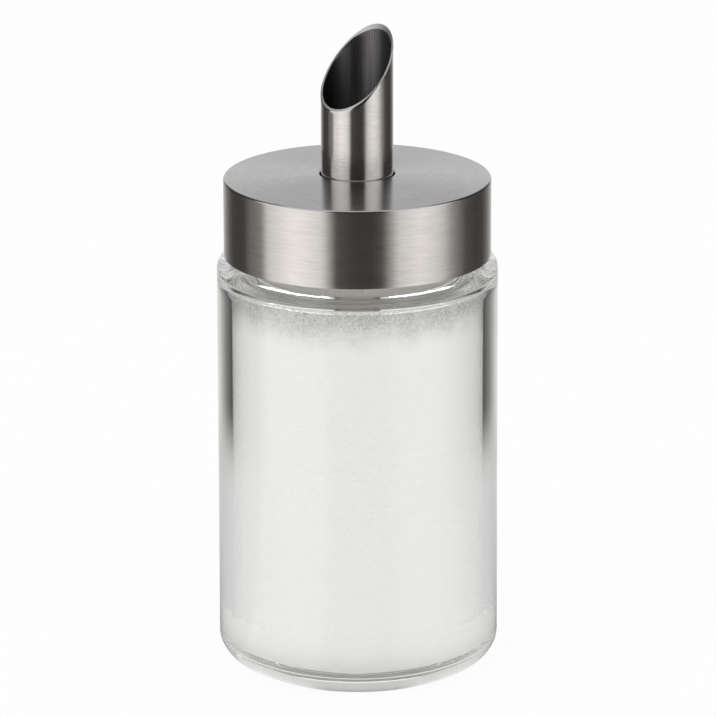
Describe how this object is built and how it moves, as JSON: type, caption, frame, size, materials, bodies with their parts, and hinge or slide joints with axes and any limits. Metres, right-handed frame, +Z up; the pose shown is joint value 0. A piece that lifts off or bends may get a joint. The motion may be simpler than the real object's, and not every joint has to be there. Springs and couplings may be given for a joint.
{
  "type": "sugar dispenser",
  "caption": "Glass jar with a twist-off steel lid whose slant-cut pouring spout holds a gravity flap over a dosing tube.",
  "frame": {"origin": "centre of the jar's base, on the surface that it stands on", "axes": "+Z up along the axis of jar, lid and spout; -Y towards the picture's camera and +X to its right; the spout's tip lies 48.7 degrees from +X towards +Y"},
  "size_m": [0.075, 0.075, 0.1756],
  "materials": {
    "jar_glass": "clear, fire-polished",
    "lid_steel": "brushed round the axis",
    "spout_steel": "brushed, with a ground mouth",
    "inner_steel": "drawn, satin",
    "liner_plastic": "moulded, satin",
    "gasket_rubber": "soft, matt"
  },
  "bodies": {
    "jar": {"glass_jar": "jar_glass"},
    "seal": {"lid_gasket": "gasket_rubber"},
    "lid": {"lid_shell": "lid_steel", "lid_liner": "liner_plastic", "spout_tube": "spout_steel", "spout_flange": "inner_steel", "flap_seat": "inner_steel", "flap_pin": "inner_steel", "dosing_funnel": "liner_plastic", "dosing_tube": "inner_steel"},
    "flap": {"flap": "inner_steel"}
  },
  "joints": [
    {"name": "lid_lift", "type": "slide", "parent": "jar", "child": "seal", "axis": [0, 0, 1], "range_m": [0, 0.13]},
    {"name": "lid_turn", "type": "hinge", "parent": "seal", "child": "lid", "pos_m": [0, 0, 0.1316], "axis": [0, 0, 1], "range_deg": [0, 60]},
    {"name": "flap_swing", "type": "hinge", "parent": "lid", "child": "flap", "pos_m": [0.00442, 0.00503, 0.14713], "axis": [-0.7513, 0.66, 0], "range_deg": [0, 80]}
  ]
}
